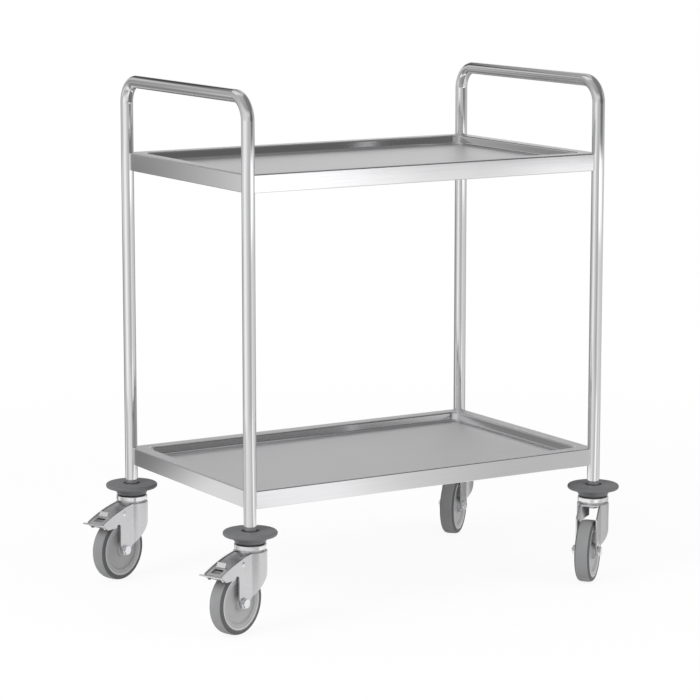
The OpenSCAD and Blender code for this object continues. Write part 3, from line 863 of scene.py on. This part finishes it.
tongue = {                               # the tab struck up from the lever
    "from": 83.6 * mm,                   # along the lever, from the swivel
    "to": 93 * mm,
    "halfWidth": 10.7 * mm,
    "height": 9.5 * mm,
    "overlap": 0.4 * mm,                 # how deep its foot sits in the lever
    "headroom": 5 * mm,                  # of the block that cuts it out
    "leanFrom": 3 * mm,                  # above its foot, what is higher leans
    "leanBack": 7 * mm,
    "edge": 0.9 * mm,
    "edgeAngle": 30,
    "edgeSteps": 3,
    "shadeAngle": 50,
}


def alongLever(corner, point):           # a place as distances along and across the lever, and its height
    out = outward(corner)
    away = point - swivelPlace(corner)
    return Vector((away.dot(out), away.dot(upward.cross(out)), point.z))


def tongueTip(corner):                   # height of the tongue's top
    places = [alongLever(corner, v.co) for v in frame["nodes"]["lever_" + corner].data.vertices]
    return max(p.z for p in places if tongue["from"] < p.x < tongue["to"] and abs(p.y) < tongue["halfWidth"])


def tongueBlock(corner, low, high):      # the block of space that holds the tongue
    length = tongue["to"] - tongue["from"]
    deselectAll()
    bpy.ops.mesh.primitive_cube_add(size=1, location=(0, 0, 0))
    block = bpy.context.object
    block.scale = (length, 2 * tongue["halfWidth"], high - low)
    applyPlace()
    block.location = swivelPlace(corner) + outward(corner) * (tongue["from"] + length / 2)
    block.location.z = (low + high) / 2
    block.rotation_euler = (0, 0, heading(corner))
    applyPlace()
    return block


def modelTongue(corner):                 # cut from the lever, and its top leant back
    tip = tongueTip(corner)
    root = tip - tongue["height"]
    piece = fromFrame("lever_" + corner, "release_tongue_" + corner)
    cutWith(piece, tongueBlock(corner, root, tip + tongue["headroom"]), "INTERSECT")
    editAll(piece)
    pick("VERT", lambda v: v.co.z > root + tongue["leanFrom"])
    bpy.ops.transform.translate(value=outward(corner) * -tongue["leanBack"])
    softEdges(piece, tongue["edge"], tongue["edgeAngle"], tongue["edgeSteps"])
    smooth(piece, tongue["shadeAngle"])
    return piece


def modelLever(corner):                  # what the tongue leaves of it
    tip = tongueTip(corner)
    foot = tip - tongue["height"] + tongue["overlap"]
    piece = fromFrame("lever_" + corner, "brake_lever_" + corner)
    cutWith(piece, tongueBlock(corner, foot, tip + tongue["headroom"]))
    breakEdges(piece, pressed["leverEdge"])
    return piece


shoeFace = {                             # the shoe's front slopes back under the lip
    "edge": (95.5 * mm, 112.5 * mm),     # its lowest edge: out from the swivel, and up from the floor
    "slope": 36,                         # degrees it rises towards the lip
}


def modelShoe(corner):
    piece = fromFrame("shoe_" + corner, "brake_shoe_" + corner)
    out = outward(corner)
    slope = math.radians(shoeFace["slope"])
    along, up = shoeFace["edge"]
    editAll(piece)
    bpy.ops.mesh.bisect(plane_co=swivelPlace(corner) + out * along + upward * up,
                        plane_no=out * math.sin(slope) - upward * math.cos(slope),
                        use_fill=True, clear_outer=True)
    deselectAll()
    breakEdges(piece, pressed["shoeEdge"])
    return piece


for corner in corners:
    finish(modelFork(corner), forkSteel, "swivel_" + corner, "fork_steel", "fork_" + corner)
for corner in brakedCorners:
    finish(modelTongue(corner), tongueSteel, "brake_" + corner, "bolt_steel")
    finish(modelLever(corner), leverSteel, "brake_" + corner, "lever_steel", "lever_" + corner)
    finish(modelShoe(corner), shoeSteel, "brake_" + corner, "shoe_steel", "shoe_" + corner)
print("forks and levers pressed")


# Floor, light and camera

floor = {
    "size": 60,
    "tone": 0.93,
    "roughness": 0.9,
    "near": (1.2, 0.90),                 # metres from the middle, share of plain white in what the camera sees
    "far": (2.6, 1.0),
}


def whiteForCamera(tree):                # 1 for camera, glossy and transmission rays
    seen = addNode(tree, "ShaderNodeLightPath", (-700, 200))
    first = addNode(tree, "ShaderNodeMath", (-500, 200), operation="ADD")
    second = addNode(tree, "ShaderNodeMath", (-350, 200), operation="ADD", use_clamp=True)
    tree.links.new(seen.outputs["Is Camera Ray"], first.inputs[0])
    tree.links.new(seen.outputs["Is Glossy Ray"], first.inputs[1])
    tree.links.new(first.outputs[0], second.inputs[0])
    tree.links.new(seen.outputs["Is Transmission Ray"], second.inputs[1])
    return second.outputs[0]


def whitened(tree, share, surface, white, output):   # this share of the white, and the surface for the rest
    mix = addNode(tree, "ShaderNodeMixShader", (200, 100))
    tree.links.new(share, mix.inputs["Fac"])
    tree.links.new(surface, mix.inputs[1])
    tree.links.new(white, mix.inputs[2])
    tree.links.new(mix.outputs["Shader"], tree.nodes[output].inputs["Surface"])


def plainFloor():
    deselectAll()
    bpy.ops.mesh.primitive_plane_add(size=floor["size"], location=(0, 0, 0))
    piece = named(bpy.context.object, "floor")
    material, tree, shader = newMaterial("paleFloor", metallic=0.0, roughness=floor["roughness"], specular=0.0)
    shader.inputs["Base Color"].default_value = (floor["tone"], floor["tone"], floor["tone"], 1)
    glow = addNode(tree, "ShaderNodeEmission", (0, -200))
    glow.inputs["Strength"].default_value = 1.0
    where = addNode(tree, "ShaderNodeTexCoord", (-900, -100))
    away = addNode(tree, "ShaderNodeVectorMath", (-700, -100), operation="LENGTH")
    level = addNode(tree, "ShaderNodeMapRange", (-500, -100))
    level.inputs["From Min"].default_value, level.inputs["To Min"].default_value = floor["near"]
    level.inputs["From Max"].default_value, level.inputs["To Max"].default_value = floor["far"]
    share = addNode(tree, "ShaderNodeMath", (-150, 200), operation="MULTIPLY")
    tree.links.new(where.outputs["Object"], away.inputs[0])
    tree.links.new(away.outputs["Value"], level.inputs["Value"])
    tree.links.new(whiteForCamera(tree), share.inputs[0])
    tree.links.new(level.outputs["Result"], share.inputs[1])
    whitened(tree, share.outputs[0], shader.outputs["BSDF"], glow.outputs["Emission"], "Material Output")
    piece.data.materials.append(material)


studioLight = {                          # lamps as (place, side of the square, watts)
    "world": 0.70,
    "keyLight": ((-4.4, -0.7, 3.2), 2.2, 125),
    "fillLight": ((2.2, -3.9, 2.2), 2.4, 60),
    "aim": (0, 0, 0.4),
}


def studioWorld():
    world = bpy.data.worlds.new("studio")
    bpy.context.scene.world = world
    world.use_nodes = True
    tree = world.node_tree
    light = tree.nodes["Background"]
    light.inputs["Color"].default_value = (1, 1, 1, 1)
    light.inputs["Strength"].default_value = studioLight["world"]
    white = addNode(tree, "ShaderNodeBackground", (0, -200))
    white.inputs["Color"].default_value = (1, 1, 1, 1)
    white.inputs["Strength"].default_value = 1.0
    whitened(tree, whiteForCamera(tree), light.outputs["Background"], white.outputs["Background"],
             "World Output")


backdrop = {                             # light and dark cards: (azimuth from +X to +Y, grey tone)
    "floorRadius": 0.7,
    "radius": 2.2,
    "height": 4.2,
    "clearance": 1 * mm,
    "roundSteps": 128,
    "rows": [
        [(-180, 0.70), (-165, 0.85), (-126, 0.72), (-90, 0.48), (-82, 1.10), (-72, 1.15), (-63, 0.78),
         (-54, 0.63), (-47, 0.64), (-38, 0.76), (-12, 0.68), (10, 0.42), (59, 0.40), (70, 0.25), (78, 0.18),
         (88, 0.20), (106, 0.45), (118, 0.28), (126, 0.22), (134, 0.92), (143, 0.90), (155, 0.40),
         (180, 0.70)],
        [(-180, 1.02), (-167, 1.00), (-145, 0.72), (-108, 0.45), (-99, 0.42), (-86, 0.60), (-74, 0.85),
         (-55, 0.72), (10, 0.60), (35, 0.32), (75, 0.15), (84, 0.15), (95, 0.45), (106, 0.42), (114, 0.24),
         (123, 0.27), (132, 0.60), (145, 0.52), (156, 0.62), (167, 0.85), (180, 1.02)],
        [(-180, 1.02), (-167, 1.00), (-145, 0.72), (-108, 0.48), (-96, 0.50), (-84, 1.00), (-76, 1.75),
         (-69, 1.60), (-64, 1.35), (-60, 1.05), (-55, 1.00), (-50, 1.40), (-44, 1.20), (-19, 0.64),
         (10, 0.58), (35, 0.30), (59, 0.24), (80, 0.30), (95, 0.50), (108, 0.42), (117, 0.24), (123, 0.28),
         (128, 0.58), (132, 0.90), (138, 0.95), (145, 0.55), (156, 0.62), (167, 0.85), (180, 1.02)],
        [(-180, 0.95), (-150, 0.90), (-127, 0.62), (-108, 0.50), (-92, 0.55), (-80, 0.35), (-72, 0.16),
         (-50, 0.16), (-42, 0.30), (-12, 0.55), (10, 0.60), (35, 0.30), (59, 0.24), (108, 0.66),
         (116, 0.50), (124, 0.40), (130, 0.60), (145, 0.50), (168, 0.75), (180, 0.95)],
        [(-180, 0.70), (-150, 0.78), (-126, 0.70), (-90, 0.40), (-78, 0.20), (-66, 0.12), (-50, 0.12),
         (-40, 0.20), (-30, 0.40), (10, 0.50), (35, 0.60), (46, 1.00), (74, 1.00), (83, 0.60), (95, 0.55),
         (106, 0.58), (118, 0.28), (134, 0.50), (180, 0.70)],
        [(-180, 0.70), (-135, 0.74), (-99, 0.65), (-84, 0.45), (-70, 0.14), (-44, 0.14), (-34, 0.35),
         (10, 0.45), (40, 0.97), (72, 0.97), (77, 0.12), (92, 0.08), (106, 0.62), (113, 0.66), (121, 0.45),
         (143, 0.45), (180, 0.70)],
        [(-180, 0.60), (-110, 0.50), (-84, 0.40), (-70, 0.20), (-44, 0.15), (20, 0.25), (40, 0.50),
         (52, 0.32), (66, 0.25), (74, 0.06), (98, 0.06), (104, 0.20), (112, 0.26), (118, 0.42),
         (180, 0.60)],
        [(-180, 0.45), (-110, 0.35), (-70, 0.20), (30, 0.25), (45, 0.60), (66, 0.55), (78, 0.30),
         (100, 0.45), (112, 0.80), (136, 0.80), (150, 0.50), (180, 0.45)],
    ],
    # heights over which each row gives way to the next
    "steps": [(0.01, 0.03), (0.42, 0.52), (0.67, 0.705), (0.84, 1.0), (1.35, 1.6), (1.9, 2.05), (2.25, 2.4)],
}


def toneRow(tree, around, tones, position):
    row = addNode(tree, "ShaderNodeValToRGB", position)
    stops = row.color_ramp.elements
    while len(stops) > 1:
        stops.remove(stops[-1])
    for count, (azimuth, tone) in enumerate(tones):
        share = azimuth / 360 + 0.5      # of the way round
        stop = stops[0] if count == 0 else stops.new(share)
        stop.position = share
        stop.color = (tone, tone, tone, 1)
    tree.links.new(around, row.inputs["Fac"])
    return row.outputs["Color"]


def studioBackdrop():                    # stands round the studio and on part of its floor, seen by metal alone
    b = backdrop
    deselectAll()
    bpy.ops.mesh.primitive_circle_add(vertices=b["roundSteps"], radius=b["floorRadius"],
                                      location=(0, 0, b["clearance"]))
    ring = named(bpy.context.object, "backdrop")
    editReady(ring)
    extrude(0, 0, 0)
    grow = b["radius"] / b["floorRadius"]
    bpy.ops.transform.resize(value=(grow, grow, 1), center_override=(0, 0, 0))
    extrude(0, 0, b["height"])
    bpy.ops.mesh.edge_face_add()         # its ceiling
    deselectAll()
    material = bpy.data.materials.new("backdropTones")
    material.use_nodes = True
    tree = material.node_tree
    tree.nodes.remove(tree.nodes["Principled BSDF"])
    where = addNode(tree, "ShaderNodeTexCoord", (-1100, 0))
    around = addNode(tree, "ShaderNodeTexGradient", (-900, 100), gradient_type="RADIAL")
    split = addNode(tree, "ShaderNodeSeparateXYZ", (-900, -150))
    tree.links.new(where.outputs["Object"], around.inputs["Vector"])
    tree.links.new(where.outputs["Object"], split.inputs["Vector"])
    colour = toneRow(tree, around.outputs["Fac"], b["rows"][0], (-650, 300))
    for count, (start, end) in enumerate(b["steps"]):
        across = -650 + 250 * count      # in the node editor
        level = addNode(tree, "ShaderNodeMapRange", (across, -250))
        level.inputs["From Min"].default_value = start
        level.inputs["From Max"].default_value = end
        tree.links.new(split.outputs["Z"], level.inputs["Value"])
        row = toneRow(tree, around.outputs["Fac"], b["rows"][count + 1], (across, 0))
        colour = blendColour(tree, level.outputs["Result"], colour, row, (across + 150, 250))
    glow = addNode(tree, "ShaderNodeEmission", (550, 0))
    tree.links.new(colour, glow.inputs["Color"])
    tree.links.new(glow.outputs["Emission"], tree.nodes["Material Output"].inputs["Surface"])
    ring.data.materials.append(material)
    ring.visible_camera = False
    ring.visible_diffuse = False
    ring.visible_transmission = False
    ring.visible_shadow = False
    ring.visible_volume_scatter = False


def softbox(name):
    place, size, power = studioLight[name]
    deselectAll()
    bpy.ops.object.light_add(type="AREA", location=place)
    lamp = bpy.context.object
    lamp.name = name
    lamp.data.shape = "SQUARE"
    lamp.data.size = size
    lamp.data.energy = power
    lamp.rotation_euler = (Vector(studioLight["aim"]) - Vector(place)).to_track_quat("-Z", "Y").to_euler()
    lamp.visible_camera = False
    lamp.visible_glossy = False


camera = {                               # turns in degrees, lens and sensor in millimetres
    "place": (-2.8750, -4.7594, 1.4103),
    "yaw": 31.112,
    "pitch": 9.605,
    "lens": 145.07,
    "sensor": 36,
    "reach": 200,
}


def addCamera():
    deselectAll()
    turn = (math.radians(90 - camera["pitch"]), 0, math.radians(-camera["yaw"]))
    bpy.ops.object.camera_add(location=camera["place"], rotation=turn)
    eye = bpy.context.object
    eye.data.sensor_width = camera["sensor"]
    eye.data.lens = camera["lens"]
    eye.data.clip_end = camera["reach"]
    bpy.context.scene.camera = eye


plainFloor()
studioWorld()
studioBackdrop()
softbox("keyLight")
softbox("fillLight")
addCamera()
bpy.context.scene.view_settings.view_transform = "Standard"
print("studio set")
